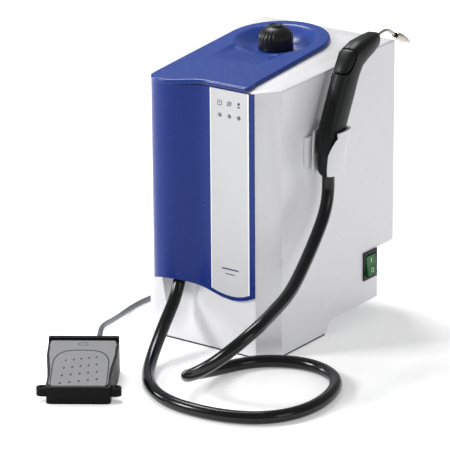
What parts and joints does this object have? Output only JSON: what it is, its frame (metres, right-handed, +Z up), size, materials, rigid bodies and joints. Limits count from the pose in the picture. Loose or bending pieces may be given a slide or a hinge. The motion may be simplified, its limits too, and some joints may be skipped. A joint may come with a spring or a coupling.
{
  "type": "steam cleaner",
  "caption": "Bench steam cleaner: cabinet with a boiler and a filler cap in a sunken bowl, a steam handpiece on a hose in a side holder, and a corded foot switch.",
  "frame": {"origin": "bottom centre of the bounding box of the cabinet, handpiece and foot switch, on the table", "axes": "+X to the cabinet's right as seen from its front, +Y to its back, +Z up"},
  "size_m": [0.3961, 0.6435, 0.3786],
  "materials": {
    "white_plastic": "satin white moulding",
    "deep_blue": "satin deep blue moulding",
    "top_blue": "satin blue moulding",
    "label_grey": "printed light grey overlay",
    "black_plastic": "fine-textured black moulding",
    "black_rubber": "glossy black rubber hose",
    "pedal_grey": "textured grey moulding",
    "cable_grey": "grey cable sheath",
    "steel": "stainless steel",
    "brass": "turned brass",
    "zinc": "zinc-plated sheet",
    "rocker_green": "translucent green",
    "lens": "smoked clear light guide",
    "board_green": "circuit board",
    "insulation": "mineral wool jacket"
  },
  "bodies": {
    "root": {"housing": "white_plastic", "base_tray": "zinc", "edge_trim": "black_rubber", "rear_foot_left": "black_rubber", "rear_foot_right": "black_rubber", "connector_panel": "white_plastic", "facia": "deep_blue", "label_plate": "label_grey", "light_guide": "lens", "indicator_board": "board_green", "top_cover": "top_blue", "filler_neck": "brass", "neck_grommet": "black_rubber", "boiler": "steel", "boiler_jacket": "insulation", "boiler_stand": "zinc", "heating_element": "steel", "drain_plug": "brass", "safety_valve": "brass", "pressure_switch": "black_plastic", "level_probe": "steel", "overheat_switch": "black_plastic", "steam_pipe": "steel", "solenoid_valve": "brass", "solenoid_coil": "black_plastic", "outlet_pipe": "steel", "hose_gland": "brass", "control_board": "board_green", "switch_bezel": "black_plastic", "switch_body": "black_plastic", "mains_inlet": "black_plastic", "inlet_pins": "zinc", "foot_socket": "zinc", "foot_plug": "black_plastic", "holder_plate": "white_plastic", "holder_cup": "white_plastic", "pedal_base": "black_plastic", "pedal_pin": "steel", "pedal_spring": "steel", "pedal_switch": "black_plastic", "foot_gland": "black_rubber", "steam_hose": "black_rubber", "foot_cable": "cable_grey", "foot_cable_coil": "cable_grey", "foot_cable_tail": "cable_grey"},
    "cap_stem": {"cap_disc": "brass", "cap_seal": "black_rubber"},
    "cap_knob": {"filler_cap": "black_plastic"},
    "handpiece": {"grip_left": "black_plastic", "grip_right": "black_plastic", "hose_collar": "black_plastic", "grip_tube": "steel", "grip_switch": "black_plastic", "trigger_pin": "steel", "nozzle_tube": "steel", "nozzle_ring": "black_rubber", "nozzle_tip": "steel"},
    "trigger": {"trigger": "black_plastic"},
    "rocker": {"rocker": "rocker_green"},
    "pedal": {"pedal": "pedal_grey"}
  },
  "joints": [
    {"name": "cap_lift", "type": "slide", "parent": "root", "child": "cap_stem", "axis": [0, 0, 1], "range_m": [0, 0.0061], "stiffness_N_per_m": 2, "springref_m": 0.19},
    {"name": "cap_turn", "type": "hinge", "parent": "cap_stem", "child": "cap_knob", "pos_m": [-0.01685, 0.14834, 0.36], "axis": [0, 0, 1], "range_deg": [0, 720]},
    {"name": "handpiece_lift", "type": "slide", "parent": "root", "child": "handpiece", "axis": [0, 0, 1], "range_m": [0, 0.06]},
    {"name": "trigger_press", "type": "hinge", "parent": "handpiece", "child": "trigger", "pos_m": [0.10515, 0.12834, 0.353], "axis": [1, 0, 0], "range_deg": [0, 2.5], "stiffness_Nm_per_rad": 0.05, "springref_deg": -5.73},
    {"name": "rocker_tilt", "type": "hinge", "parent": "root", "child": "rocker", "pos_m": [0.08165, 0.20984, 0.0645], "axis": [0, 1, 0], "range_deg": [0, 17]},
    {"name": "pedal_press", "type": "hinge", "parent": "root", "child": "pedal", "pos_m": [-0.08101, -0.16435, 0.0362], "axis": [0.829, 0.5592, 0], "range_deg": [0, 3.5], "stiffness_Nm_per_rad": 1.5, "springref_deg": -2.86, "deforming": ["pedal_spring"]}
  ],
  "couplings": [
    {"joint": "cap_lift", "follows": "cap_turn", "m_per_rad": 0.00047746}
  ]
}
